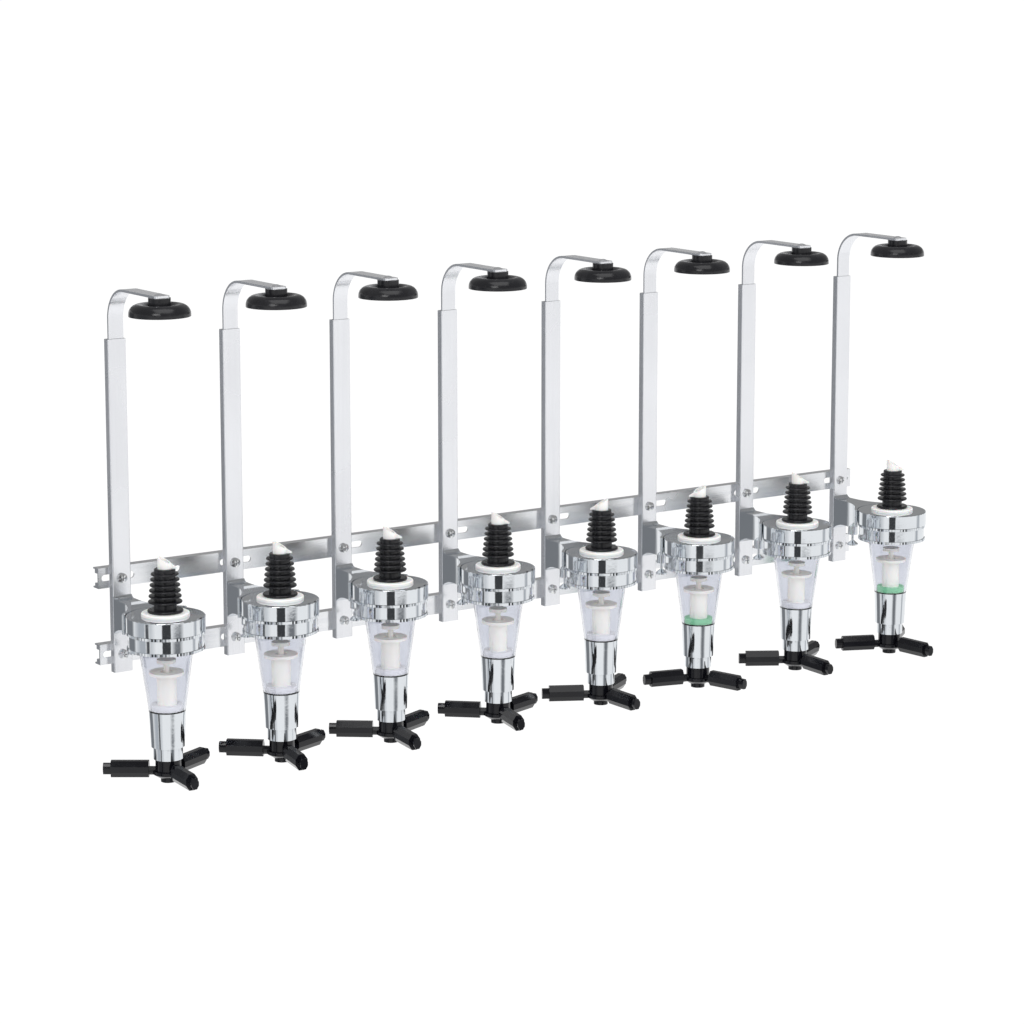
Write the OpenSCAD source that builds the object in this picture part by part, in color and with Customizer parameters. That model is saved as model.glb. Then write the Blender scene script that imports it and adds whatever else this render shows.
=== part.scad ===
// Wall rack of spirit measures. Each station holds a bottle upside down between a
// sprung arm above and a measuring chamber below, and is worked by pushing a glass
// up against a three-fingered lever.
// The wall is the plane y = 0 and the rack stands out towards -Y. Zero height is the
// middle of the upper rail's top flange, and zero width is the middle of the rack.

/* [Rack] */
// Number of measures side by side
stations = 8; // [2:1:8]
// Distance from one slot of a rail to the next
station_pitch = 110.4; // [110:0.2:160]
// Length of rail beyond the outermost column's centre line
rail_overhang = 18; // [14:1:60]
// Distance between the screw lines of the two rails
rail_spacing = 64; // [60:1:80]
// Height of a rail
rail_h = 17; // [16.5:0.5:19]
// Depth of a rail from the wall to its face
rail_d = 9; // [8.8:0.2:14]
// Thickness of a rail's face
rail_web = 1.5; // [1.2:0.1:2]
// Thickness of a rail's top and bottom flange
rail_flange = 1.2; // [0.8:0.1:1.6]
// Length of the slot behind each column
slot_l = 30; // [12:1:60]
// Diameter of the wall screw holes
wall_hole_d = 5.2; // [4:0.2:7]

/* [Column] */
// Width of a column
column_w = 16.5; // [15.5:0.5:20]
// Depth of a column from front to back
column_d = 7; // [6.6:0.1:10]
// Wall thickness of a column
column_wall = 1; // [0.8:0.1:1.1]
// Height of a column above the upper screw line
column_head = 197.3; // [120:1:260]
// Length of a column below the lower screw line
column_foot = 14.9; // [8:0.5:40]

/* [Bottle arm] */
// Width of the arm
arm_w = 13.5; // [12:0.5:13.8]
// Thickness of the arm
arm_t = 2; // [1.5:0.1:2.2]
// Outer radius of the arm's bend
arm_bend_r = 27; // [12:1:40]
// Height of the arm's top above the column
arm_above = 43; // [42:1:90]
// Length of arm beyond the middle of the bottle cup
arm_beyond = 6.5; // [5:0.5:9]

/* [Bottle cup] */
// Diameter of the bottle cup
cup_d = 49.5; // [44:0.5:62]
// Height of the cup from its rim to its crest
cup_h = 9.6; // [9:0.2:14]
// Depth of the hollow that takes the bottle's base
cup_hollow = 5; // [4.5:0.1:5.4]

/* [Measure] */
// Distance from the column's face to the middle of the measure
reach = 74; // [68:1:90]
// Diameter of the measuring head
head_d = 64; // [63:0.5:68]
// Height of the measuring head's band
head_h = 12.5; // [12:0.5:16]
// Distance from the upper screw line down to the head's top
head_drop = 17; // [16:0.5:22]
// Height of the knurled collar
collar_h = 14.5; // [14:0.5:18]
// Length of the clear chamber below the collar
chamber_h = 51; // [46:1:60]
// Length of the plated barrel
barrel_h = 39.6; // [39.2:0.2:48]

/* [Lever] */
// Radius of the circle that the finger tips turn in
finger_reach = 52.6; // [46:0.2:54]
// Height of a finger
finger_h = 13.4; // [10:0.2:14]
// Width of a finger
finger_w = 10.5; // [8:0.5:12]
// Upward travel of the lever
lever_lift = 5.5; // [3:0.1:5.6]
// Travel of the lock pin
pin_travel = 4.5; // [4:0.1:5]

/* [Hidden] */
$fn = 96;

// Clearances: a running fit round a shaft, a gap between parts that move, and the
// overrun of every cut
fit = 0.05;
gap = 0.3;
over = 1;

// Heights and depths that the pieces share, from the upper screw line
line_z = -(rail_h - rail_flange) / 2;
face_y = -rail_d - column_d;
axis_y = face_y - reach;
head_top = -head_drop;
head_foot = head_top - head_h;
rail_l = (stations - 1) * station_pitch + 2 * rail_overhang;
wall_hole_x = (stations - 2) * station_pitch / 2;

// Screws and nuts
screw_r = 2;
screw_head_r = 4;
screw_head_h = 2.4;
screw_dome = 0.7;
screw_hole_r = screw_r + fit;
head_round_r = (screw_head_r * screw_head_r + screw_dome * screw_dome) / (2 * screw_dome);
recess_w = 0.9;
recess_l = 4.6;
recess_deep = 1.2;
nut_w = 8;
nut_t = 3.2;
nut_slack = 0.1;
screw_reach = 0.8;
slot_w = 5.5;
rib_d = 4.5;

// Inside the column
strip_gap = 0.25;
strip_front_y = face_y + column_wall + strip_gap;
strip_back_y = strip_front_y + arm_t;
strip_foot = screw_r + gap;
guide_h = 25;
guide_gap = 0.35;
column_corner = 0.8;
spring_x = 4.6;
arm_spring_r = 2.1;
arm_spring_y = -rail_d - column_d / 2;
arm_spring_top = -1;
arm_spring_rise = 8;
arm_spring_foot = arm_spring_rise - rail_spacing;
wire_r = 0.4;
wire_y = strip_back_y + wire_r + gap;
hook_z = 6;
hook_hole_r = 1.2;
ring_slack = 0.2;
ring_mean_r = screw_r + wire_r + ring_slack;

// Bottle arm and cup
arm_top = column_head + arm_above;
arm_corner = 3;
rivet_r = 2.5;
rivet_head_r = 4.2;
rivet_head_h = 1.6;
rivet_deep = 6;
cup_round = 8;
cup_lip = 2;
cup_recess = 3;
boss_r = 9;
boss_rise = 4.8;
cup_crest = arm_top - arm_t - boss_rise;
cup_rim = cup_crest - cup_h;

// Bracket
neck_h = 23.5;
root_drop = 5.1;
root_run = 14;
root_fillet = 5;
root_rise = 2.5;
flare_r = 46;
cradle_angle = 56;
cradle_wall = 2.8;
cradle_h = 16;
arch_run = 20;
tongue_w = 10;
tongue_t = 5;
tongue_roof = 3;
tongue_beyond = 4;
boss_d = 19;
pin_boss_r = 4.75;
pin_boss_h = 8.8;
bracket_screw_pitch = 16;
bracket_screw_l = 9;

// Lock pin, from the head's tongue down
pin_r = 1.25;
pin_hole_r = pin_r + fit;
pin_clear = 1;
pin_entry = pin_travel - pin_clear;
pin_collar_r = 2.5;
pin_collar_h = 1.5;
chamber_bore_r = 3.1;
chamber_drop = 4;
boss_floor = 2;
foot_r = 5.25;
foot_edge = 1.2;
foot_cone = 3.3;
pin_grip = 5.9;
pin_spring_r = 2.9;
pin_spring_bore = 1.6;

// Measuring head
head_edge = 1.2;
head_top_t = 5;
band_wall = 3;
spigot_r = 25;
spigot_wall = 4;
spigot_h = 21;
inlet_r = 9;
inlet_bore = 4.2;
spout_r = 5.7;
spout_seat = 4;
collar_r = 31.3;
collar_joint = 0.5;
knurl_n = 72;
knurl_deep = 0.5;
knurl_h = 2.2;
knurl_step = 0.35;

// Cork, spout and seal disc
disc_r = 19.5;
disc_rise = 2.5;
disc_round = 1.2;
cork_base_r = 14.5;
cork_base_h = 2.4;
cork_core_r = 8.65;
cork_foot_r = 9.2;
cork_foot_h = 4.2;
cork_h = 35.5;
cork_top_edge = 0.8;
rib_n = 6;
rib_first = 8.6;
rib_pitch = 4.5;
rib_t = 3;
rib_tip_r = 0.85;
rib_top_r = 11.3;
rib_foot_r = 13.8;
spout_rise = 10;
spout_slant = 30;
tab_w = 2;
tab_h = 4.5;
tab_out = 4.3;
tab_turns = [-36, -36, -36, -36, 144, 160, -36, -36];

// Chamber and valve
chamber_rim_r = 24.5;
chamber_rim_h = 2.4;
chamber_top_r = 22.5;
chamber_foot_r = 15;
chamber_wall = 1.8;
chamber_floor = 1;
gasket_r = 12.8;
gasket_h = 4.6;
housing_r = 8;
housing_wall = 2.6;
housing_flange_r = 14;
housing_flange_h = 2.5;
housing_rise = 32.4;
stem_r = 2.4;
disc_valve_r = 7.7;
disc_valve_h = 3;
disc_valve_rise = 10.2;
ledge_h = 7;
ledge_bore = 4.2;
barrel_top_r = 15;
barrel_mid_r = 13.7;
barrel_step_r = 12;
barrel_step_h = 10.2;
barrel_bore = 8.5;
barrel_mouth = 11;
barrel_mouth_h = 11.1;
spring_h = 16;
valve_spring_r = 7;
valve_spring_bore = 4.8;
shoulder_r = 8;
shoulder_h = 3;
push_collar_r = 6.5;
push_collar_h = 3.3;
outlet_r = 4;
outlet_bore = 2.2;
port_r = 1.3;
port_drop = 3;

// Lever
hub_r = 10.5;
hub_overlap = 2;
hub_up = 10.9;
hub_h = 17.3;
nub_r = 6.3;
nub_h = 4;
base_r = 12.5;
base_foot_r = 8.5;
base_h = 2.7;
base_cone_h = 2.7;
finger_neck = 5;
finger_neck_h = 6.5;
finger_neck_w = 6;
finger_drop = 1.5;
tip_l = 6.3;
tip_w = 6.5;
tip_h = 9;
finger_flat_share = 0.45;
finger_side_share = 0.35;
fingers = 3;
// Turn of each lever about its own axis, as the rack stands
lever_turns = [145.3, 139.5, 142.4, 137.7, 151, 165, 147.7, 155.9];

// Heights of the valve train, from the top down
collar_top = head_foot - collar_joint;
collar_foot = collar_top - collar_h;
chamber_top = head_top - spigot_h - gap;
chamber_foot = collar_foot - chamber_h;
barrel_top = chamber_foot;
barrel_foot = barrel_top - barrel_h;
ledge_foot = barrel_top - ledge_h;
shoulder_top = ledge_foot - spring_h;
housing_top = chamber_foot + housing_rise;
valve_top = housing_top + disc_valve_rise;
inlet_foot = valve_top + lever_lift + gap;
hub_top = barrel_foot + hub_overlap;
push_foot = hub_top + gap;
lever_foot = hub_top - hub_h - nub_h;
finger_z = hub_top - hub_up;

function slot_x(n) = (n - (stations + 1) / 2) * station_pitch;

// Where the column was tightened in its slot, as a share of the way to the slot's end
seat_shares = [0, -0.35, -0.65, -0.7, -0.7, -0.8, -0.45, 0];
function station_x(n) = slot_x(n) + seat_shares[n - 1] * (slot_l - slot_w) / 2;

// Puts children at a station: width on the column, depth on the wall, height on the
// upper screw line
module at_station(n) {
    translate([station_x(n), 0, line_z]) children();
}

// Puts children on the upright axis of a measure
module at_measure(n) {
    translate([station_x(n), axis_y, line_z]) children();
}

module at_screw_lines() {
    for (z = [0, -rail_spacing]) translate([0, 0, z]) children();
}

// A cylinder that runs along Y from one depth to another
module rod_y(r, from_y, to_y) {
    translate([0, to_y, 0]) rotate([90, 0, 0]) cylinder(r = r, h = to_y - from_y);
}

// A box given by its lowest and highest corners
module box(low, high) {
    translate(low) cube(high - low);
}

// Two-dimensional sections have depth or radius across and height up

module rail_section() {
    rib_top = rail_h / 2 - rail_flange;
    rib_foot = nut_w / 2 + nut_slack;
    difference() {
        translate([-rail_d, -rail_h / 2]) square([rail_d, rail_h]);
        translate([rail_web - rail_d, -rib_top]) square([rail_d, 2 * rib_top]);
    }
    for (side = [0, 1]) mirror([0, side])
        translate([rail_web - rail_d, rib_foot]) square([rib_d, rib_top - rib_foot]);
}

module rail() {
    difference() {
        rotate([90, 0, 90]) linear_extrude(rail_l, center = true) rail_section();
        for (n = [1 : stations]) translate([slot_x(n), 0, 0]) slot_cut();
        for (side = [-1, 1]) translate([side * wall_hole_x, 0, 0])
            rod_y(wall_hole_d / 2, -rail_d - over, rail_web - rail_d + over);
    }
}

// Round-ended slot through the face of a rail
module slot_cut() {
    half = (slot_l - slot_w) / 2;
    box([-half, -rail_d - over, -slot_w / 2], [half, rail_web - rail_d + over, slot_w / 2]);
    for (side = [-1, 1]) translate([side * half, 0, 0])
        rod_y(slot_w / 2, -rail_d - over, rail_web - rail_d + over);
}

module upper_rail() {
    color([0.80, 0.81, 0.83]) translate([0, 0, line_z]) rail();
}

module lower_rail() {
    color([0.80, 0.81, 0.83]) translate([0, 0, line_z - rail_spacing]) rail();
}

module rounded_rectangle(w, d, r) {
    square([w - 2 * r, d], center = true);
    square([w, d - 2 * r], center = true);
    for (x = [-1, 1], y = [-1, 1]) translate([x * (w / 2 - r), y * (d / 2 - r)]) circle(r);
}

module column() {
    foot = -rail_spacing - column_foot;
    difference() {
        translate([0, -rail_d - column_d / 2, foot]) linear_extrude(column_head - foot) difference() {
            rounded_rectangle(column_w, column_d, column_corner);
            square([column_w - 2 * column_wall, column_d - 2 * column_wall], center = true);
        }
        at_screw_lines() rod_y(screw_hole_r, face_y - over, over - rail_d);
        at_bracket_screws() rod_y(screw_hole_r, face_y - over, over - rail_d);
    }
}

module columns() {
    color([0.86, 0.87, 0.89]) for (n = [1 : stations]) at_station(n) column();
}

// Plastic plug that keeps the arm against the front of the column
module column_guides() {
    half = column_w / 2 - column_wall;
    color([0.15, 0.15, 0.16]) for (n = [1 : stations]) at_station(n)
        box([-half, strip_back_y + guide_gap, column_head - guide_h],
            [half, -rail_d - column_wall, column_head]);
}

// Pan head with a cross recess, standing up from zero height
module screw_head() {
    difference() {
        rotate_extrude() intersection() {
            square([screw_head_r, screw_head_h]);
            translate([0, screw_head_h - head_round_r]) circle(head_round_r);
        }
        for (turn = [0, 90]) rotate([0, 0, turn])
            translate([-recess_l / 2, -recess_w / 2, screw_head_h - recess_deep])
                cube([recess_l, recess_w, recess_deep + over]);
    }
}

module column_screws() {
    tip = rail_web - rail_d + nut_t + screw_reach;
    color([0.82, 0.82, 0.84]) for (n = [1 : stations]) at_station(n) at_screw_lines() {
        translate([0, face_y, 0]) rotate([90, 0, 0]) screw_head();
        rod_y(screw_r, face_y, tip);
    }
}

module rail_nuts() {
    near = rail_web - rail_d;
    color([0.70, 0.71, 0.72]) for (n = [1 : stations]) at_station(n) at_screw_lines()
        difference() {
            box([-nut_w / 2, near, -nut_w / 2], [nut_w / 2, near + nut_t, nut_w / 2]);
            rod_y(screw_hole_r, near - over, near + nut_t + over);
        }
}

module at_bracket_screws() {
    middle = head_top - (neck_h + root_drop) / 2;
    for (side = [-1, 1]) translate([0, 0, middle + side * bracket_screw_pitch / 2]) children();
}

module bracket_screws() {
    color([0.82, 0.82, 0.84]) for (n = [1 : stations]) at_station(n) at_bracket_screws() {
        translate([0, -rail_d, 0]) rotate([-90, 0, 0]) screw_head();
        rod_y(screw_r, face_y - bracket_screw_l, -rail_d);
    }
}

// Plan of the bracket: a neck that flares tangentially into a cradle round the head
module bracket_plan() {
    inner_r = head_d / 2 + gap;
    outer_r = inner_r + cradle_wall;
    flare_x = column_w / 2 + flare_r;
    flare_y = sqrt(pow(outer_r + flare_r, 2) - pow(flare_x, 2));
    touch = outer_r / (outer_r + flare_r);
    wide = 2 * outer_r;
    translate([0, axis_y]) difference() {
        union() {
            translate([-column_w / 2, 0]) square([column_w, reach]);
            for (side = [0, 1]) mirror([side, 0]) {
                difference() {
                    polygon([[0, 0], [flare_x * touch, flare_y * touch], [flare_x, flare_y],
                             [column_w / 2, flare_y], [0, flare_y]]);
                    translate([flare_x, flare_y]) circle(flare_r);
                }
                intersection() {
                    circle(outer_r);
                    polygon([[0, 0], [wide * sin(cradle_angle), wide * cos(cradle_angle)],
                             [0, wide]]);
                }
                rotate(-cradle_angle) translate([0, inner_r + cradle_wall / 2])
                    circle(cradle_wall / 2);
            }
        }
        circle(inner_r);
    }
}

// Side of the bracket: its foot arches down to the column and its underside up to the cradle
module bracket_side() {
    root_r = (root_run * root_run + root_drop * root_drop) / (2 * root_drop);
    arch_rise = neck_h - cradle_h;
    arch_r = (arch_run * arch_run + arch_rise * arch_rise) / (2 * arch_rise);
    arch_d = boss_d + pin_boss_r + arch_run;
    difference() {
        union() {
            translate([0, head_top - neck_h]) square([reach, neck_h]);
            translate([0, head_top - neck_h - root_drop]) square([root_run, root_drop + over]);
            translate([0, head_top - over]) square([root_fillet, root_rise + over]);
        }
        translate([root_run, head_top - neck_h - root_r]) circle(root_r);
        translate([root_fillet, head_top + root_fillet]) circle(root_fillet);
        translate([arch_d, head_top - cradle_h - arch_r]) circle(arch_r);
        translate([arch_d, head_top - neck_h - over]) square([reach, arch_rise + over]);
    }
}

module bracket() {
    outer_r = head_d / 2 + gap + cradle_wall;
    low = head_top - neck_h - root_drop;
    tongue_top = head_top - tongue_roof;
    tongue_foot = tongue_top - tongue_t;
    slot_half = tongue_w / 2 + gap;
    boss_foot = head_top - neck_h - pin_boss_h;
    difference() {
        union() {
            intersection() {
                translate([0, 0, low - over]) linear_extrude(head_top + root_rise - low + 2 * over)
                    bracket_plan();
                translate([0, face_y, 0]) rotate([90, 0, -90])
                    linear_extrude(2 * outer_r + 2 * over, center = true) bracket_side();
            }
            translate([0, face_y - boss_d, boss_foot]) cylinder(r = pin_boss_r, h = pin_boss_h + over);
        }
        box([-slot_half, axis_y, tongue_foot - gap],
            [slot_half, face_y - boss_d + tongue_beyond + gap, tongue_top + gap]);
        translate([0, face_y - boss_d, boss_foot - over])
            cylinder(r = pin_hole_r, h = tongue_foot - boss_foot + over);
        translate([0, face_y - boss_d, boss_foot + boss_floor])
            cylinder(r = chamber_bore_r, h = tongue_foot - chamber_drop - boss_foot - boss_floor);
        at_bracket_screws() rod_y(screw_hole_r, face_y - bracket_screw_l - gap, face_y + over);
    }
}

module brackets() {
    color([0.78, 0.80, 0.82]) for (n = [1 : stations]) at_station(n) bracket();
}

// Sprung pin that locks the head's tongue in the bracket, pulled down by its round foot
module lock_pin(n) {
    tongue_foot = head_top - tongue_roof - tongue_t;
    boss_foot = head_top - neck_h - pin_boss_h;
    collar_z = tongue_foot - chamber_drop - gap;
    grip_z = boss_foot - pin_grip;
    low = grip_z - foot_cone - foot_edge;
    color([0.80, 0.81, 0.83]) at_station(n) translate([0, face_y - boss_d, 0]) {
        rotate_extrude() polygon([[0, low], [foot_r, low], [foot_r, low + foot_edge],
                                  [pin_r, grip_z], [0, grip_z]]);
        translate([0, 0, low]) cylinder(r = pin_r, h = tongue_foot + pin_entry - low);
        translate([0, 0, collar_z - pin_collar_h]) cylinder(r = pin_collar_r, h = pin_collar_h);
    }
}

module pin_springs() {
    floor_z = head_top - neck_h - pin_boss_h + boss_floor;
    collar_foot_z = head_top - tongue_roof - tongue_t - chamber_drop - gap - pin_collar_h;
    color([0.60, 0.61, 0.63]) for (n = [1 : stations]) at_station(n)
        translate([0, face_y - boss_d, floor_z]) tube(pin_spring_r, pin_spring_bore,
                                                      collar_foot_z - gap - floor_z);
}

module tube(r, bore, h) {
    difference() {
        cylinder(r = r, h = h);
        translate([0, 0, -over]) cylinder(r = bore, h = h + 2 * over);
    }
}

// Extension spring beside the screws, hooked to the arm above and to the lower screw below
module arm_spring() {
    lean = spring_x - ring_mean_r;
    color([0.60, 0.61, 0.63]) {
        translate([spring_x, arm_spring_y, arm_spring_foot])
            cylinder(r = arm_spring_r, h = arm_spring_top - arm_spring_foot);
        translate([spring_x, wire_y, arm_spring_top - over])
            cylinder(r = wire_r, h = hook_z + wire_r - arm_spring_top + over);
        translate([spring_x, 0, hook_z]) rod_y(wire_r, strip_front_y, wire_y);
        translate([ring_mean_r, wire_y, -rail_spacing])
            rotate([0, atan2(lean, arm_spring_rise), 0])
                cylinder(r = wire_r, h = norm([lean, arm_spring_rise]) + wire_r);
        translate([0, wire_y, -rail_spacing]) rotate([90, 0, 0])
            rotate_extrude() translate([ring_mean_r, 0]) circle(wire_r);
    }
}

module arm_springs() {
    for (n = [1 : stations]) at_station(n) arm_spring();
}

// Strip that rises from the column, bends over and carries the bottle cup
module bottle_arm(n) {
    bend_bore = arm_bend_r - arm_t;
    bend_y = strip_back_y - arm_bend_r;
    bend_z = arm_top - arm_bend_r;
    end_y = axis_y - arm_beyond;
    flat_l = bend_y - end_y;
    color([0.84, 0.85, 0.87]) at_station(n) difference() {
        union() {
            box([-arm_w / 2, strip_front_y, strip_foot], [arm_w / 2, strip_back_y, bend_z]);
            translate([0, bend_y, bend_z]) rotate([90, 0, 90]) linear_extrude(arm_w, center = true)
                intersection() {
                    difference() {
                        circle(arm_bend_r);
                        circle(bend_bore);
                    }
                    square(arm_bend_r);
                }
            translate([0, end_y + flat_l / 2, arm_top - arm_t]) linear_extrude(arm_t) union() {
                rounded_rectangle(arm_w, flat_l, arm_corner);
                translate([-arm_w / 2, 0]) square([arm_w, flat_l / 2]);
            }
            translate([0, axis_y, arm_top - arm_t - rivet_deep])
                cylinder(r = rivet_r, h = rivet_deep + arm_t);
            translate([0, axis_y, arm_top]) rivet_dome();
        }
        translate([spring_x, 0, hook_z]) rod_y(hook_hole_r, strip_front_y - over, strip_back_y + over);
    }
}

module rivet_dome() {
    dome_r = (rivet_head_r * rivet_head_r + rivet_head_h * rivet_head_h) / (2 * rivet_head_h);
    rotate_extrude() intersection() {
        square([rivet_head_r, rivet_head_h]);
        translate([0, rivet_head_h - dome_r]) circle(dome_r);
    }
}

// Rubber cup for the bottle's base: a boss, a sunk top, a round shoulder and a hollow below
module bottle_cup(n) {
    r = cup_d / 2;
    crest_r = r - cup_round;
    color([0.11, 0.11, 0.12]) at_measure(n) rotate_extrude() difference() {
        union() {
            translate([0, cup_rim]) square([r, cup_h - cup_round]);
            translate([0, cup_rim]) square([crest_r, cup_h - cup_recess]);
            intersection() {
                translate([crest_r, cup_crest - cup_round]) circle(cup_round);
                square_ring(0, r, cup_rim, cup_crest);
            }
            square_ring(0, boss_r, cup_rim, arm_top - arm_t);
        }
        square_ring(0, crest_r - cup_lip, cup_rim - over, cup_rim + cup_hollow);
        translate([crest_r - cup_lip, cup_rim]) circle(cup_hollow);
        square_ring(0, rivet_r + fit, arm_top - arm_t - rivet_deep - gap, arm_top);
        translate([-r, cup_rim - over]) square([r, cup_h + boss_rise + 2 * over]);
    }
}

// Section of a ring between two radii and two heights
module square_ring(near_r, far_r, low, high) {
    translate([near_r, low]) square([far_r - near_r, high - low]);
}

// Plated head: a capped band, a spigot for the collar, the inlet tube and a rear tongue
module measure_head() {
    r = head_d / 2;
    tongue_foot = head_top - tongue_roof - tongue_t;
    pin_y = reach - boss_d;
    difference() {
        union() {
            rotate_extrude() {
                square_ring(inlet_bore, r - head_edge, head_top - head_top_t, head_top);
                square_ring(r - band_wall, r, head_foot, head_top - head_edge);
                translate([r - head_edge, head_top - head_edge]) circle(head_edge);
                square_ring(spigot_r - spigot_wall, spigot_r, head_top - spigot_h, head_top);
                square_ring(inlet_bore, inlet_r, inlet_foot, head_top);
            }
            box([-tongue_w / 2, r - band_wall / 2, tongue_foot],
                [tongue_w / 2, pin_y + tongue_beyond, tongue_foot + tongue_t]);
        }
        translate([0, 0, head_top - spout_seat]) cylinder(r = spout_r + fit, h = spout_seat + over);
        translate([0, pin_y, tongue_foot - over]) cylinder(r = pin_hole_r, h = tongue_t + 2 * over);
    }
}

module measure_heads() {
    color([0.80, 0.82, 0.84]) for (n = [1 : stations]) at_measure(n) measure_head();
}

// Ring of fine teeth round the collar
module knurl_row(bore_r) {
    linear_extrude(knurl_h) difference() {
        polygon([for (i = [0 : 2 * knurl_n - 1]) let (a = 180 * i / knurl_n)
            (collar_r - (i % 2) * knurl_deep) * [cos(a), sin(a)]]);
        circle(bore_r);
    }
}

module knurled_collars() {
    thread_r = spigot_r + fit;
    lip_r = chamber_top_r + gap;
    lip_top = chamber_top - chamber_rim_h;
    band_r = collar_r - knurl_deep - knurl_step;
    color([0.80, 0.82, 0.84]) for (n = [1 : stations]) at_measure(n) {
        translate([0, 0, collar_foot]) knurl_row(thread_r);
        translate([0, 0, collar_top - knurl_h]) knurl_row(thread_r);
        rotate_extrude() {
            square_ring(thread_r, band_r, collar_foot, collar_top);
            square_ring(lip_r, band_r, collar_foot, lip_top);
        }
    }
}

module seal_discs() {
    color([0.95, 0.94, 0.92]) for (n = [1 : stations]) at_measure(n) translate([0, 0, head_top])
        rotate_extrude() {
            square_ring(spout_r + fit, disc_r - disc_round, 0, disc_rise);
            square_ring(spout_r + fit, disc_r, 0, disc_rise - disc_round);
            translate([disc_r - disc_round, disc_rise - disc_round]) circle(disc_round);
        }
}

// Ribbed rubber cork: the ribs grow from the top down to grip the bottle's neck
module corks() {
    bore = spout_r + fit;
    color([0.10, 0.10, 0.11]) for (n = [1 : stations]) at_measure(n)
        translate([0, 0, head_top + disc_rise]) rotate_extrude() {
            square_ring(bore, cork_base_r - cork_base_h / 2, 0, cork_base_h);
            translate([cork_base_r - cork_base_h / 2, cork_base_h / 2]) circle(cork_base_h / 2);
            square_ring(bore, cork_foot_r, 0, cork_base_h + cork_foot_h);
            square_ring(bore, cork_core_r, 0, cork_h - cork_top_edge);
            square_ring(bore, cork_core_r - cork_top_edge, 0, cork_h);
            translate([cork_core_r - cork_top_edge, cork_h - cork_top_edge]) circle(cork_top_edge);
            for (i = [0 : rib_n - 1]) {
                tip = rib_foot_r + (rib_top_r - rib_foot_r) * i / (rib_n - 1) - rib_tip_r;
                translate([0, rib_first + i * rib_pitch]) {
                    polygon([[bore, -rib_t / 2], [tip, -rib_tip_r], [tip, rib_tip_r],
                             [bore, rib_t / 2]]);
                    translate([tip, 0]) circle(rib_tip_r);
                }
            }
        }
}

// Pouring tube with a slanted mouth and a small air tab
module spout(turn) {
    foot = head_top - spout_seat;
    tab_foot = head_top + disc_rise + cork_h;
    top = tab_foot + spout_rise;
    rotate([0, 0, turn]) difference() {
        union() {
            translate([0, 0, foot]) cylinder(r = spout_r, h = top - foot);
            box([0, -tab_w / 2, tab_foot], [spout_r + tab_out, tab_w / 2, tab_foot + tab_h]);
        }
        translate([0, 0, foot - over]) cylinder(r = inlet_bore, h = top - foot + 2 * over);
        translate([spout_r, 0, top - 2 * spout_r * tan(spout_slant)]) rotate([0, spout_slant, 0])
            box([-4 * spout_r, -2 * spout_r, 0], [2 * spout_r, 2 * spout_r, 4 * spout_r]);
    }
}

module spouts() {
    color([0.95, 0.95, 0.94]) for (n = [1 : stations]) at_measure(n) spout(tab_turns[n - 1]);
}

// Clear tapered chamber that holds one measure
module chambers() {
    rim_foot = chamber_top - chamber_rim_h;
    floor_top = chamber_foot + chamber_floor;
    cone_h = rim_foot - chamber_foot;
    inner_foot_r = chamber_foot_r - chamber_wall
        + (chamber_top_r - chamber_foot_r) * chamber_floor / cone_h;
    color([0.80, 0.80, 0.90, 0.4]) for (n = [1 : stations]) at_measure(n) rotate_extrude() {
        polygon([[chamber_top_r - chamber_wall, chamber_top], [chamber_rim_r, chamber_top],
                 [chamber_rim_r, rim_foot], [chamber_top_r, rim_foot],
                 [chamber_foot_r, chamber_foot], [housing_r + gap, chamber_foot],
                 [housing_r + gap, floor_top], [inner_foot_r, floor_top],
                 [chamber_top_r - chamber_wall, rim_foot]]);
    }
}

module chamber_gaskets() {
    color([0.55, 0.80, 0.62]) for (n = [1 : stations]) at_measure(n)
        translate([0, 0, chamber_foot + chamber_floor]) tube(gasket_r, housing_r + fit, gasket_h);
}

// Flanged valve housing that stands in the chamber
module valve_housings() {
    bore = housing_r - housing_wall;
    color([0.93, 0.91, 0.85]) for (n = [1 : stations]) at_measure(n) rotate_extrude() {
        square_ring(bore, housing_r, barrel_top, housing_top);
        square_ring(bore, housing_flange_r, housing_top - housing_flange_h, housing_top);
    }
}

// Plated barrel with a guide ledge, the spring's bore and a wider mouth for the lever's hub
module barrels() {
    step_z = barrel_foot + barrel_step_h;
    mouth_z = barrel_foot + barrel_mouth_h;
    color([0.80, 0.82, 0.84]) for (n = [1 : stations]) at_measure(n) rotate_extrude()
        polygon([[ledge_bore, barrel_top], [barrel_top_r, barrel_top], [barrel_mid_r, step_z],
                 [barrel_step_r, step_z], [barrel_step_r, barrel_foot],
                 [barrel_mouth, barrel_foot], [barrel_mouth, mouth_z], [barrel_bore, mouth_z],
                 [barrel_bore, ledge_foot], [ledge_bore, ledge_foot]]);
}

module valve_springs() {
    low = shoulder_top + gap;
    color([0.60, 0.61, 0.63]) for (n = [1 : stations]) at_measure(n)
        translate([0, 0, low]) tube(valve_spring_r, valve_spring_bore, ledge_foot - low);
}

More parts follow.
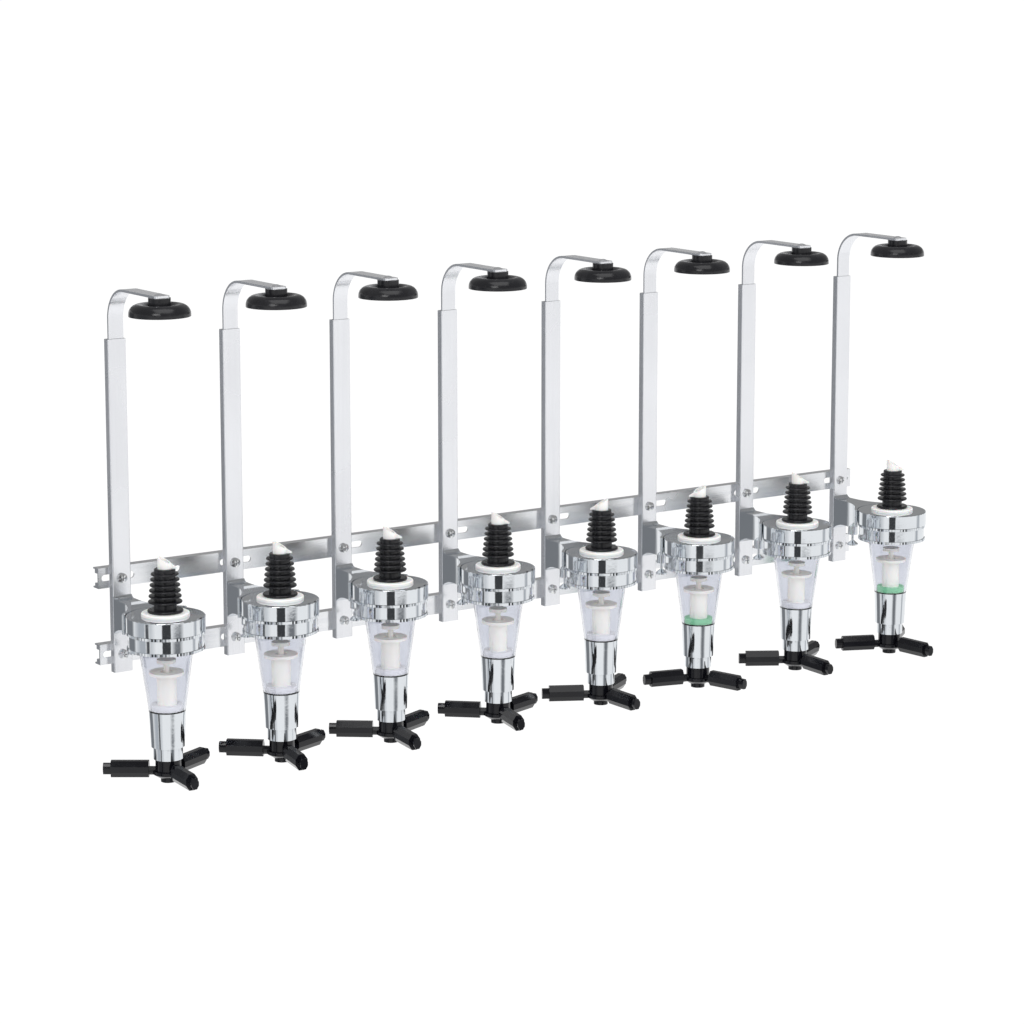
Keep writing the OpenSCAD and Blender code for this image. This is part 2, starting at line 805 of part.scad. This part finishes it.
// Valve stem: closing disc, stem, spring shoulder, push collar and hollow outlet
module plunger(n) {
    shoulder_foot = shoulder_top - shoulder_h;
    port_z = shoulder_foot - port_drop;
    color([0.93, 0.91, 0.85]) at_measure(n) difference() {
        union() {
            translate([0, 0, valve_top - disc_valve_h]) cylinder(r = disc_valve_r, h = disc_valve_h);
            translate([0, 0, shoulder_foot]) cylinder(r = stem_r, h = valve_top - shoulder_foot);
            translate([0, 0, shoulder_foot]) cylinder(r = shoulder_r, h = shoulder_h);
            translate([0, 0, push_foot]) cylinder(r = push_collar_r, h = push_collar_h);
            translate([0, 0, lever_foot]) cylinder(r = outlet_r, h = shoulder_foot - lever_foot);
        }
        translate([0, 0, lever_foot - over]) cylinder(r = outlet_bore, h = port_z - lever_foot + over);
        translate([0, 0, port_z]) rotate([90, 0, 0])
            cylinder(r = port_r, h = 2 * outlet_r + 2 * over, center = true);
    }
}

// Cross-section of a finger: flat top and sides with slanted corners
module finger_section(w, h) {
    flat = w * finger_flat_share / 2;
    side = h * finger_side_share / 2;
    polygon([[-flat, h / 2], [-w / 2, side], [-w / 2, -side], [-flat, -h / 2],
             [flat, -h / 2], [w / 2, -side], [w / 2, side], [flat, h / 2]]);
}

// A length of finger from one radius to another
module finger_run(from_r, to_r, w, h) {
    translate([from_r, 0, 0]) rotate([90, 0, 90]) linear_extrude(to_r - from_r) finger_section(w, h);
}

// Three-fingered lever that a glass pushes up, free to turn on the outlet
module lever(n) {
    body_r = hub_r + finger_neck;
    tip_r = finger_reach - tip_l;
    base_z = hub_top - hub_h + base_h + base_cone_h;
    color([0.10, 0.10, 0.11]) at_measure(n) rotate([0, 0, lever_turns[n - 1]]) difference() {
        union() {
            rotate_extrude() polygon([[0, lever_foot], [nub_r, lever_foot], [nub_r, lever_foot + nub_h],
                [base_foot_r, base_z - base_h - base_cone_h], [base_r, base_z - base_h],
                [base_r, base_z], [hub_r, base_z], [hub_r, hub_top], [0, hub_top]]);
            for (i = [0 : fingers - 1]) rotate([0, 0, 360 * i / fingers]) {
                translate([0, 0, finger_z - finger_drop])
                    finger_run(hub_r / 2, body_r + over, finger_neck_w, finger_neck_h);
                translate([0, 0, finger_z]) finger_run(body_r, tip_r, finger_w, finger_h);
                translate([0, 0, finger_z]) finger_run(tip_r - over, finger_reach, tip_w, tip_h);
            }
        }
        translate([0, 0, lever_foot - over])
            cylinder(r = outlet_r + fit, h = hub_top - lever_foot + 2 * over);
    }
}

upper_rail();
lower_rail();
columns();
column_guides();
column_screws();
rail_nuts();
brackets();
bracket_screws();
measure_heads();
knurled_collars();
seal_discs();
corks();
spouts();
chambers();
chamber_gaskets();
valve_housings();
barrels();
valve_springs();
pin_springs();
arm_springs();
for (n = [1 : stations]) {
    bottle_arm(n);
    bottle_cup(n);
    lock_pin(n);
    plunger(n);
    lever(n);
}
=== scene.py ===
import math
import bpy
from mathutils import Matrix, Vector


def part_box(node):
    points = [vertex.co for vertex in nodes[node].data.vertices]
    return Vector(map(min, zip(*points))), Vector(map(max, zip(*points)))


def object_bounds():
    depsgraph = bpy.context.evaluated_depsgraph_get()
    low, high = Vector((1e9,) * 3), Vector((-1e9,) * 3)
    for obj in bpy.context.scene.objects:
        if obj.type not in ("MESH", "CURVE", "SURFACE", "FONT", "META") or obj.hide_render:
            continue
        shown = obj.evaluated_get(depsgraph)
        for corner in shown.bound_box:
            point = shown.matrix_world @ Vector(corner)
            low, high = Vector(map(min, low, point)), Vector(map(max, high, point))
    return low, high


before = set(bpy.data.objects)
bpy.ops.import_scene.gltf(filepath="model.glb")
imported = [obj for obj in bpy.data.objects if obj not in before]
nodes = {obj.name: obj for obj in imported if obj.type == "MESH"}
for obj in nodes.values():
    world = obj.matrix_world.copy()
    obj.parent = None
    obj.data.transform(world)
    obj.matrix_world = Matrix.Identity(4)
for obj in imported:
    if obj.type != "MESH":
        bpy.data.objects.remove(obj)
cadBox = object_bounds()
stationCount = sum(name.startswith("lever_") for name in nodes)
print("frame loaded,", len(nodes), "nodes,", stationCount, "stations")


class Sock:
    # one shader socket, so that maths on sockets reads as plain expressions

    def __init__(self, shader, link):
        self.shader, self.link = shader, link

    def math(self, operation, *others):
        return self.shader.node("ShaderNodeMath", {"operation": operation}, [self, *others])

    def __add__(self, other): return self.math("ADD", other)
    def __radd__(self, other): return self.math("ADD", other)
    def __sub__(self, other): return self.math("SUBTRACT", other)
    def __rsub__(self, other): return self.shader.node(
        "ShaderNodeMath", {"operation": "SUBTRACT"}, [other, self])
    def __mul__(self, other): return self.math("MULTIPLY", other)
    def __rmul__(self, other): return self.math("MULTIPLY", other)
    def __gt__(self, other): return self.math("GREATER_THAN", other)
    def __lt__(self, other): return self.math("LESS_THAN", other)
    def clamp(self): return self.shader.node("ShaderNodeClamp", {}, [self, 0.0, 1.0])


class Shader:
    # a material with one Principled shader and a short way to add any other node

    def __init__(self, name, **fixed):
        self.material = bpy.data.materials.new(name)
        self.material.use_nodes = True
        self.tree = self.material.node_tree
        self.bsdf = self.tree.nodes["Principled BSDF"]
        for key, value in fixed.items():
            self.bsdf.inputs[key.replace("_", " ")].default_value = value
        self.place = Sock(self, self.tree.nodes.new("ShaderNodeTexCoord").outputs["Object"])

    def node(self, kind, settings, values, output=0):
        made = self.tree.nodes.new(kind)
        for key, value in settings.items():
            if key == "stops":
                for stop, (at, colour) in zip(rampStops(made, len(value)), value):
                    stop.position = at
                    stop.color = colour
            else:
                setattr(made, key, value)
        pairs = values.items() if isinstance(values, dict) else enumerate(values)
        for key, value in pairs:
            if isinstance(value, Sock):
                self.tree.links.new(value.link, made.inputs[key])
            else:
                made.inputs[key].default_value = value
        return Sock(self, made.outputs[output])

    def stretched(self, x, y, z):
        return self.node("ShaderNodeMapping", {}, {"Vector": self.place, "Scale": (x, y, z)})

    def noise(self, scale, detail=3.0, rough=0.5, place=None):
        return self.node("ShaderNodeTexNoise", {}, {
            "Vector": place or self.place, "Scale": scale, "Detail": detail, "Roughness": rough})

    def spread(self, value, low, high, toLow=0.0, toHigh=1.0):
        return self.node("ShaderNodeMapRange", {}, {
            "Value": value, "From Min": low, "From Max": high, "To Min": toLow, "To Max": toHigh})

    def mix(self, share, first, second):
        return self.node("ShaderNodeMix", {"data_type": "RGBA"}, {0: share, 6: first, 7: second}, 2)

    def edges(self, radius):
        # 1 in corners of the piece itself, 0 on its open faces; this ambient-occlusion mask is
        # where shade is painted into the colour
        near = self.node("ShaderNodeAmbientOcclusion", {"samples": 4, "only_local": True},
                         {"Distance": radius}, 1)
        return 1.0 - self.spread(near, 0.35, 1.0)

    def bump(self, height, strength, distance=0.001):
        return self.node("ShaderNodeBump", {}, {
            "Height": height, "Strength": strength, "Distance": distance})

    def drive(self, **sockets):
        for key, value in sockets.items():
            self.tree.links.new(value.link, self.bsdf.inputs[key.replace("_", " ")])
        return self.material


def rampStops(ramp, count):
    stops = ramp.color_ramp.elements
    while len(stops) < count:
        stops.new(1.0)
    return stops


def colour(r, g, b):
    return (r, g, b, 1.0)


# Finishes

# The darkest grey here is painted shade for the corners; its reach and patch size go with it
chrome = {"tint": colour(0.72, 0.75, 0.78), "cloudy": colour(0.64, 0.67, 0.70),
          "paintedShade": colour(0.42, 0.44, 0.47), "polish": 0.035, "smudge": 0.11,
          "smudgeScale": 22.0, "shadePatchScale": 60.0, "paintedShadeReach": 0.0025,
          "orangePeel": 380.0, "peelBump": 0.015}


def chromePlate():
    made = Shader("chromePlate", Metallic=1.0, IOR=2.0)
    cloud = made.spread(made.noise(chrome["smudgeScale"], 5.0, 0.6), 0.42, 0.72)
    # Painted shade: in the corners, broken into patches, the chrome darkens towards a grey, and the
    # same mask also roughens it there
    patchy = made.spread(made.noise(chrome["shadePatchScale"]), 0.3, 0.8)
    shadedCorners = made.edges(chrome["paintedShadeReach"]) * patchy
    base = made.mix(cloud * 0.35, chrome["tint"], chrome["cloudy"])
    base = made.mix(shadedCorners.clamp() * 0.5, base, chrome["paintedShade"])
    rough = cloud * (chrome["smudge"] - chrome["polish"]) + chrome["polish"] + shadedCorners * 0.15
    return made.drive(
        Base_Color=base, Roughness=rough,
        Normal=made.bump(made.noise(chrome["orangePeel"], 2.0), chrome["peelBump"]))


rail = {"tint": colour(0.84, 0.85, 0.87), "streak": colour(0.72, 0.74, 0.77),
        "rolled": (3.0, 240.0, 240.0), "cloudScale": 9.0, "polish": 0.16, "dull": 0.3,
        "rollBump": 0.06}


def rolledMetal():
    made = Shader("rolledMetal", Metallic=1.0)
    lines = made.noise(1.0, 4.0, 0.6, made.stretched(*rail["rolled"]))
    cloud = made.spread(made.noise(rail["cloudScale"], 4.0), 0.35, 0.7)
    return made.drive(
        Base_Color=made.mix(made.spread(lines, 0.35, 0.65) * 0.5, rail["tint"], rail["streak"]),
        Roughness=cloud * (rail["dull"] - rail["polish"]) + rail["polish"],
        Normal=made.bump(lines, rail["rollBump"], 0.0005))


column = {"tint": colour(0.83, 0.84, 0.87), "streak": colour(0.76, 0.77, 0.80),
          "drawn": (900.0, 900.0, 8.0), "cloudScale": 14.0, "satin": 0.19, "dull": 0.3,
          "drawBump": 0.05}


def anodised():
    made = Shader("anodised", Metallic=0.95)
    lines = made.noise(1.0, 3.0, 0.55, made.stretched(*column["drawn"]))
    cloud = made.noise(column["cloudScale"], 3.0)
    return made.drive(
        Base_Color=made.mix(made.spread(lines, 0.3, 0.7) * 0.45, column["tint"], column["streak"]),
        Roughness=made.spread(cloud, 0.3, 0.7, column["satin"], column["dull"]),
        Normal=made.bump(lines, column["drawBump"], 0.0004))


# The dark colour is painted shade, laid into the screws' corners and recesses
screw = {"zinc": colour(0.78, 0.79, 0.80), "paintedShade": colour(0.20, 0.21, 0.23),
         "paintedShadeReach": 0.0012, "speckScale": 420.0, "polish": 0.14, "dull": 0.3}


def zincPlate():
    made = Shader("zincPlate", Metallic=1.0)
    speck = made.noise(screw["speckScale"], 3.0, 0.6)
    # Painted shade: the zinc darkens towards near-black in the corners and recesses
    shadedCorners = made.edges(screw["paintedShadeReach"])
    return made.drive(
        Base_Color=made.mix(shadedCorners * 0.7, screw["zinc"], screw["paintedShade"]),
        Roughness=made.spread(speck, 0.3, 0.75, screw["polish"], screw["dull"]),
        Normal=made.bump(speck, 0.05, 0.0003))


spring = {"dark": colour(0.42, 0.43, 0.45), "light": colour(0.60, 0.61, 0.63),
          "speckScale": 300.0, "polish": 0.25, "dull": 0.4}


def springSteel():
    made = Shader("springSteel", Metallic=1.0)
    speck = made.noise(spring["speckScale"], 3.0)
    return made.drive(
        Base_Color=made.mix(speck, spring["dark"], spring["light"]),
        Roughness=made.spread(speck, 0.3, 0.7, spring["polish"], spring["dull"]))


rubber = {"black": colour(0.010, 0.010, 0.012), "bloom": colour(0.030, 0.030, 0.034),
          "grainScale": 900.0, "bloomScale": 45.0, "satin": 0.14, "dull": 0.25}


def blackRubber():
    made = Shader("blackRubber", IOR=1.4)
    grain = made.noise(rubber["grainScale"], 3.0, 0.6)
    bloom = made.spread(made.noise(rubber["bloomScale"], 4.0, 0.6), 0.48, 0.75)
    fineRough = made.spread(grain, 0.3, 0.7, rubber["satin"], rubber["dull"])
    return made.drive(
        Base_Color=made.mix(bloom * 0.5, rubber["black"], rubber["bloom"]),
        Roughness=bloom * 0.12 + fineRough,
        Normal=made.bump(grain, 0.08, 0.0004))


lever = {"black": colour(0.004, 0.004, 0.006), "worn": colour(0.014, 0.015, 0.018),
         "grainScale": 1400.0, "scuffScale": 30.0, "gloss": 0.07, "dull": 0.17}


def blackPlastic():
    made = Shader("blackPlastic", IOR=1.38)
    grain = made.noise(lever["grainScale"], 2.0)
    scuff = made.spread(made.noise(lever["scuffScale"], 6.0, 0.65), 0.5, 0.72)
    return made.drive(
        Base_Color=made.mix(scuff * 0.4, lever["black"], lever["worn"]),
        Roughness=scuff * (lever["dull"] - lever["gloss"]) + lever["gloss"],
        Normal=made.bump(grain, 0.05, 0.0003))


# The second colour of each kind is both a random tone and the painted shade of the corners
moulded = {"white": [colour(0.84, 0.84, 0.83), colour(0.76, 0.75, 0.73)],
           "cream": [colour(0.96, 0.93, 0.88), colour(0.87, 0.84, 0.77)],
           "dark": [colour(0.04, 0.04, 0.045), colour(0.07, 0.07, 0.075)],
           "cloudScale": 40.0, "grainScale": 1200.0, "shadeReach": 0.002, "satin": 0.33,
           "dull": 0.45}


def mouldedPlastic(kind):
    made = Shader(kind + "Plastic", IOR=1.5, Subsurface_Weight=0.15, Subsurface_Scale=0.003)
    tint, shade = moulded[kind]
    cloud = made.noise(moulded["cloudScale"], 4.0)
    grain = made.noise(moulded["grainScale"], 2.0)
    base = made.mix(made.spread(cloud, 0.35, 0.7) * 0.5, tint, shade)
    # Painted shade: the colour darkens towards the second colour in the piece's corners
    return made.drive(
        Base_Color=made.mix(made.edges(moulded["shadeReach"]) * 0.35, base, shade),
        Roughness=made.spread(cloud, 0.3, 0.7, moulded["satin"], moulded["dull"]),
        Normal=made.bump(grain, 0.04, 0.0003))


chamber = {"tint": colour(0.79, 0.805, 0.85), "haze": colour(0.73, 0.745, 0.80),
           "cloudScale": 35.0, "flow": (60.0, 60.0, 12.0), "polish": 0.02, "dull": 0.09}


def clearPlastic():
    made = Shader("clearPlastic", IOR=1.49, Transmission_Weight=1.0)
    cloud = made.spread(made.noise(chamber["cloudScale"], 4.0), 0.4, 0.75)
    flow = made.noise(1.0, 2.0, 0.5, made.stretched(*chamber["flow"]))
    return made.drive(
        Base_Color=made.mix(cloud, chamber["tint"], chamber["haze"]),
        Roughness=cloud * (chamber["dull"] - chamber["polish"]) + chamber["polish"],
        Normal=made.bump(flow, 0.05, 0.001))


gasket = {"green": colour(0.22, 0.60, 0.34), "clear": colour(0.80, 0.80, 0.84),
          "greenStations": (6, 8), "halfStation": 0.03, "grainScale": 300.0}


def gasketRubber():
    made = Shader("gasketRubber", IOR=1.5)
    x = made.node("ShaderNodeSeparateXYZ", {}, [made.place])
    green = None
    for station in gasket["greenStations"]:
        low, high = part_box(f"lever_{station}")
        middle = (low.x + high.x) / 2
        here = (x > middle - gasket["halfStation"]) * (x < middle + gasket["halfStation"])
        green = here if green is None else green + here
    grain = made.noise(gasket["grainScale"], 3.0)
    return made.drive(
        Base_Color=made.mix(green.clamp(), gasket["clear"], gasket["green"]),
        Roughness=made.spread(grain, 0.3, 0.7, 0.35, 0.5))


finishes = {
    "chrome": chromePlate(), "rail": rolledMetal(), "anodised": anodised(), "zinc": zincPlate(),
    "steel": springSteel(), "rubber": blackRubber(), "plastic": blackPlastic(),
    "white": mouldedPlastic("white"), "cream": mouldedPlastic("cream"),
    "dark": mouldedPlastic("dark"),
    "clear": clearPlastic(), "gasket": gasketRubber(),
}
wears = {
    "upper_rail": "rail", "lower_rail": "rail", "columns": "anodised", "column_guides": "dark",
    "column_screws": "zinc", "rail_nuts": "zinc", "brackets": "chrome", "bracket_screws": "zinc",
    "measure_heads": "chrome", "knurled_collars": "chrome", "seal_discs": "white",
    "corks": "rubber", "spouts": "white", "chambers": "clear", "chamber_gaskets": "gasket",
    "valve_housings": "cream", "barrels": "chrome", "valve_springs": "steel",
    "pin_springs": "steel", "arm_springs": "steel", "bottle_arm": "anodised",
    "bottle_cup": "rubber", "lock_pin": "chrome", "plunger": "cream", "lever": "plastic",
}
rounds = {"brackets": 0.0009, "lever": 0.0006, "bottle_arm": 0.0003}  # metres, on cast edges
smooth = {"weld": 0.000005, "flat": 0.4, "corner": 32.0}


def dressNode(name, obj):
    base = name.rstrip("0123456789").rstrip("_")
    obj.data.materials.clear()
    obj.data.materials.append(finishes[wears[base]])
    obj.data.shade_smooth()
    weld = obj.modifiers.new("joined", "WELD")
    weld.merge_threshold = smooth["weld"]
    if base in rounds:
        flats = obj.modifiers.new("flats", "DECIMATE")
        flats.decimate_type = "DISSOLVE"
        flats.angle_limit = math.radians(smooth["flat"])
        edge = obj.modifiers.new("rounded", "BEVEL")
        edge.width = rounds[base]
        edge.segments = 3
        edge.angle_limit = math.radians(smooth["corner"])
    else:
        corner = obj.modifiers.new("corners", "EDGE_SPLIT")
        corner.split_angle = math.radians(smooth["corner"])
        corner.use_edge_sharp = False
    even = obj.modifiers.new("even", "WEIGHTED_NORMAL")
    even.mode = "FACE_AREA_WITH_ANGLE"
    if base == "chambers":
        obj.visible_shadow = False
        obj.visible_diffuse = False


for name, obj in nodes.items():
    dressNode(name, obj)
print("finishes on", len(finishes), "materials")


# Studio

studio = {"white": 1.0, "light": 0.9, "ceiling": 0.3, "ceilingFrom": (0.0, 0.15),
          "floorDrop": 1.1, "floorSize": 160.0, "floorPaint": 0.9, "floorGlow": 1.08,
          "floorShare": 0.85, "cardTint": (0.94, 0.98, 1.04)}


def plainWorld():
    # white to the eye; for reflections it greys towards the ceiling, as a studio does
    world = bpy.data.worlds.new("studio")
    bpy.context.scene.world = world
    world.use_nodes = True
    tree = world.node_tree

    def add(kind, operation, *values):
        made = tree.nodes.new(kind)
        if operation:
            made.operation = operation
        for socket, value in zip(made.inputs, values):
            if isinstance(value, float):
                socket.default_value = value
            else:
                tree.links.new(value, socket)
        return made.outputs[0]

    path = tree.nodes.new("ShaderNodeLightPath")
    seen = path.outputs["Is Camera Ray"]
    for kind in ("Is Glossy Ray", "Is Transmission Ray"):
        seen = add("ShaderNodeMath", "MAXIMUM", seen, path.outputs[kind])
    way = tree.nodes.new("ShaderNodeTexCoord").outputs["Generated"]
    split = tree.nodes.new("ShaderNodeSeparateXYZ")
    tree.links.new(way, split.inputs[0])
    rise = add("ShaderNodeMapRange", None, split.outputs["Z"], *studio["ceilingFrom"], 0.0, 1.0)
    dim = add("ShaderNodeMath", "MULTIPLY", rise, path.outputs["Is Glossy Ray"])
    white = add("ShaderNodeMapRange", None, dim, 0.0, 1.0, studio["white"], studio["ceiling"])
    level = add("ShaderNodeMapRange", None, seen, 0.0, 1.0, studio["light"], white)
    tree.links.new(level, tree.nodes["Background"].inputs["Strength"])
    tree.nodes["Background"].inputs["Color"].default_value = colour(1.0, 1.0, 1.0)


def outward(turn, rise):
    # the way from the rack at this turn about +Z (0 is straight ahead of it) and rise
    turn, rise = math.radians(turn), math.radians(rise)
    level = math.cos(rise)
    return Vector((math.sin(turn) * level, -math.cos(turn) * level, math.sin(rise)))


def plane(name, size, location, facing, material):
    bpy.ops.mesh.primitive_plane_add(size=1.0, location=location)
    made = bpy.context.object
    made.name = name
    made.scale = (size[0], size[1], 1.0)
    made.rotation_mode = "QUATERNION"
    made.rotation_quaternion = Vector(facing).to_track_quat("Z", "Y")
    made.data.materials.append(material)
    return made


def floorMaterial():
    # white to the eye, with the shadow of the object left on it
    grey = studio["floorPaint"]
    made = Shader("floorPaint", Base_Color=colour(grey, grey, grey), Roughness=0.9)
    tree = made.tree
    path = tree.nodes.new("ShaderNodeLightPath")
    glow = tree.nodes.new("ShaderNodeEmission")
    glow.inputs["Strength"].default_value = studio["floorGlow"]
    seen = Sock(made, path.outputs["Is Camera Ray"]) + Sock(made, path.outputs["Is Glossy Ray"])
    seen = (seen + Sock(made, path.outputs["Is Transmission Ray"])).clamp()
    mix = tree.nodes.new("ShaderNodeMixShader")
    tree.links.new((seen * studio["floorShare"]).link, mix.inputs[0])
    tree.links.new(made.bsdf.outputs[0], mix.inputs[1])
    tree.links.new(glow.outputs[0], mix.inputs[2])
    tree.links.new(mix.outputs[0], tree.nodes["Material Output"].inputs["Surface"])
    return made.material


def cardMaterial(card):
    # grey in the middle and white towards its edges, so that it leaves no hard line on chrome
    made = Shader(card["name"], Base_Color=colour(0.0, 0.0, 0.0), Roughness=1.0,
                  Specular_IOR_Level=0.0, Emission_Strength=1.0)
    inside = None
    for axis, soft in enumerate(card["soft"]):
        along = made.node("ShaderNodeSeparateXYZ", {}, [made.place], axis)
        near = made.spread(along.math("ABSOLUTE"), 0.5, 0.5 - soft)
        inside = near if inside is None else inside * near
    grey = colour(*(card["grey"] * share for share in studio["cardTint"]))
    return made.drive(Emission_Color=made.mix(inside, colour(1.0, 1.0, 1.0), grey))


cards = [
    {"name": "behindCamera", "grey": 0.06, "turn": -33.4, "rise": -10.5, "away": 2.75,
     "size": (1.2, 0.62), "soft": (0.08, 0.1)},
    {"name": "leftFront", "grey": 0.55, "turn": -96.0, "rise": -4.0, "away": 2.8,
     "size": (3.6, 2.2), "soft": (0.35, 0.1)},
    {"name": "leftBack", "grey": 0.24, "turn": -148.0, "rise": -6.0, "away": 2.7,
     "size": (2.4, 2.0), "soft": (0.2, 0.1)},
    {"name": "lowLeft", "grey": 0.10, "turn": -84.0, "rise": -17.0, "away": 2.5,
     "size": (0.6, 0.6), "soft": (0.35, 0.1)},
    {"name": "lowFront", "grey": 0.22, "turn": -2.0, "rise": -18.5, "away": 2.6,
     "size": (1.7, 0.5), "soft": (0.35, 0.15)},
    {"name": "rightFront", "grey": 0.5, "turn": 62.0, "rise": -9.0, "away": 2.9,
     "size": (0.9, 1.2), "soft": (0.45, 0.1)},
]


def placeCards():
    centre = (cadBox[0] + cadBox[1]) / 2
    for card in cards:
        out = outward(card["turn"], card["rise"])
        made = plane(card["name"], card["size"], centre + out * card["away"], -out,
                     cardMaterial(card))
        made.visible_camera = False
        made.visible_diffuse = False
        made.visible_shadow = False
        made.visible_transmission = False


# The right lamp isn't mirrored, or the upper rail would throw it on to the heads' tops
lamps = [
    {"name": "overhead", "turn": -20.0, "rise": 68.0, "away": 2.4, "size": 2.0, "power": 24.0,
     "mirrored": True},
    {"name": "front", "turn": -48.0, "rise": 28.0, "away": 3.0, "size": 1.0, "power": 16.0,
     "mirrored": True},
    {"name": "right", "turn": 30.0, "rise": 22.0, "away": 2.6, "size": 1.2, "power": 12.0,
     "mirrored": False},
]


def placeLamps():
    centre = (cadBox[0] + cadBox[1]) / 2
    for lamp in lamps:
        out = outward(lamp["turn"], lamp["rise"])
        light = bpy.data.lights.new(lamp["name"], "AREA")
        light.shape = "SQUARE"
        light.size = lamp["size"]
        light.energy = lamp["power"]
        made = bpy.data.objects.new(lamp["name"], light)
        made.location = centre + out * lamp["away"]
        made.rotation_mode = "QUATERNION"
        made.rotation_quaternion = out.to_track_quat("Z", "Y")
        made.visible_glossy = lamp["mirrored"]
        bpy.context.scene.collection.objects.link(made)


def placeFloor():
    low = cadBox[0].z - studio["floorDrop"]
    size = studio["floorSize"]
    plane("floor", (size, size), (0.0, 0.0, low), (0.0, 0.0, 1.0), floorMaterial())


plainWorld()
placeFloor()
placeCards()
placeLamps()
print("studio lit")


# The camera stands where the photograph was taken from

view = {"place": (-1.5141, -2.2050, 0.5233), "turn": -34.708, "pitch": 9.537, "lens": 107.16,
        "sensor": 36.0, "shift": -0.078, "farthest": 400.0}


def placeCamera():
    camera = bpy.data.cameras.new("camera")
    camera.lens = view["lens"]
    camera.shift_y = view["shift"]
    camera.sensor_width = view["sensor"]
    camera.clip_end = view["farthest"]
    made = bpy.data.objects.new("camera", camera)
    back = outward(view["turn"], view["pitch"])
    made.location = view["place"]
    made.rotation_mode = "QUATERNION"
    made.rotation_quaternion = back.to_track_quat("Z", "Y")
    bpy.context.scene.collection.objects.link(made)
    bpy.context.scene.camera = made


placeCamera()
bpy.context.scene.view_settings.view_transform = "Standard"
print("camera placed")
